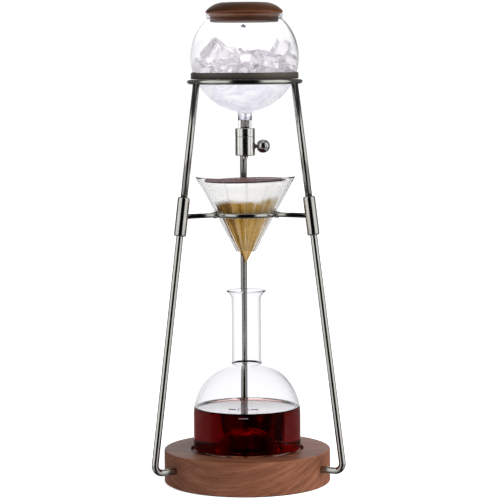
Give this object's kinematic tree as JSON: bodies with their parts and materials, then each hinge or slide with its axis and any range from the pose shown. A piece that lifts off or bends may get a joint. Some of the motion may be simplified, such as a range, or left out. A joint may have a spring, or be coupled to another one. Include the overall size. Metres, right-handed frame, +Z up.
{
  "type": "cold drip coffee tower",
  "caption": "Cold drip coffee tower: glass water globe with needle valve over a glass cone dripper and a domed flask, on a leaning leg stand with a round wooden base.",
  "frame": {"origin": "on the tower's vertical axis, at the underside of the base pad, where it rests on the table", "axes": "+Z up along the tower's axis, +Y towards the rear leg, +X towards the valve knob"},
  "size_m": [0.2206, 0.2232, 0.555],
  "materials": {
    "walnut": "satin oiled walnut",
    "walnut_lid": "satin dark walnut",
    "pad_rubber": "matte",
    "screw_steel": "bright zinc",
    "gunmetal": "polished dark nickel",
    "cushion_silicone": "satin silicone",
    "clear_glass": "clear",
    "pressed_glass": "clear pressed",
    "flask_glass": "clear",
    "filter_paper": "unbleached filter paper",
    "disperser_brown": "satin dark brown",
    "seal_silicone": "matte silicone",
    "gasket_silicone": "translucent silicone",
    "spigot_steel": "brushed",
    "valve_chrome": "polished",
    "spindle_steel": "turned",
    "knob_chrome": "polished dark nickel"
  },
  "bodies": {
    "stand": {"base_disc": "walnut", "base_pad": "pad_rubber", "leg_screws": "screw_steel", "lower_leg_rear": "gunmetal", "lower_leg_left": "gunmetal", "lower_leg_right": "gunmetal", "upper_leg_rear": "gunmetal", "upper_leg_left": "gunmetal", "upper_leg_right": "gunmetal", "leg_sleeve_rear": "gunmetal", "leg_sleeve_left": "gunmetal", "leg_sleeve_right": "gunmetal", "ring_arm_rear": "gunmetal", "ring_arm_left": "gunmetal", "ring_arm_right": "gunmetal", "dripper_ring": "gunmetal", "globe_ring": "gunmetal", "globe_cushion": "cushion_silicone"},
    "globe_unit": {"water_globe": "clear_glass", "stub_seal": "seal_silicone", "stub_washer": "seal_silicone", "inlet_spigot": "spigot_steel", "inlet_screen": "spigot_steel", "valve_cap_nut": "valve_chrome", "valve_body": "valve_chrome", "drip_nozzle": "valve_chrome", "packing_nut": "valve_chrome", "spindle_seal_1": "seal_silicone", "spindle_seal_2": "seal_silicone"},
    "knob": {"needle_spindle": "spindle_steel", "knob_ball": "knob_chrome"},
    "lid": {"globe_lid": "walnut_lid", "lid_gasket": "gasket_silicone"},
    "dripper": {"dripper_cone": "pressed_glass", "paper_filter": "filter_paper"},
    "disperser": {"disperser_disc": "disperser_brown"},
    "flask": {"flask": "flask_glass"}
  },
  "joints": [
    {"name": "globe_lift", "type": "slide", "parent": "stand", "child": "globe_unit", "axis": [0, 0, 1], "range_m": [0, 0.11]},
    {"name": "lid_lift", "type": "slide", "parent": "globe_unit", "child": "lid", "axis": [0, 0, 1], "range_m": [0, 0.04]},
    {"name": "knob_turn", "type": "hinge", "parent": "globe_unit", "child": "knob", "pos_m": [0, 0, 0.39007], "axis": [1, 0, 0], "range_deg": [0, 720]},
    {"name": "dripper_lift", "type": "slide", "parent": "stand", "child": "dripper", "axis": [0, 0, 1], "range_m": [0, 0.012]},
    {"name": "disperser_lift", "type": "slide", "parent": "dripper", "child": "disperser", "axis": [0, 0, 1], "range_m": [0, 0.008]},
    {"name": "flask_lift", "type": "slide", "parent": "stand", "child": "flask", "axis": [0, 0, 1], "range_m": [0, 0.025]}
  ]
}
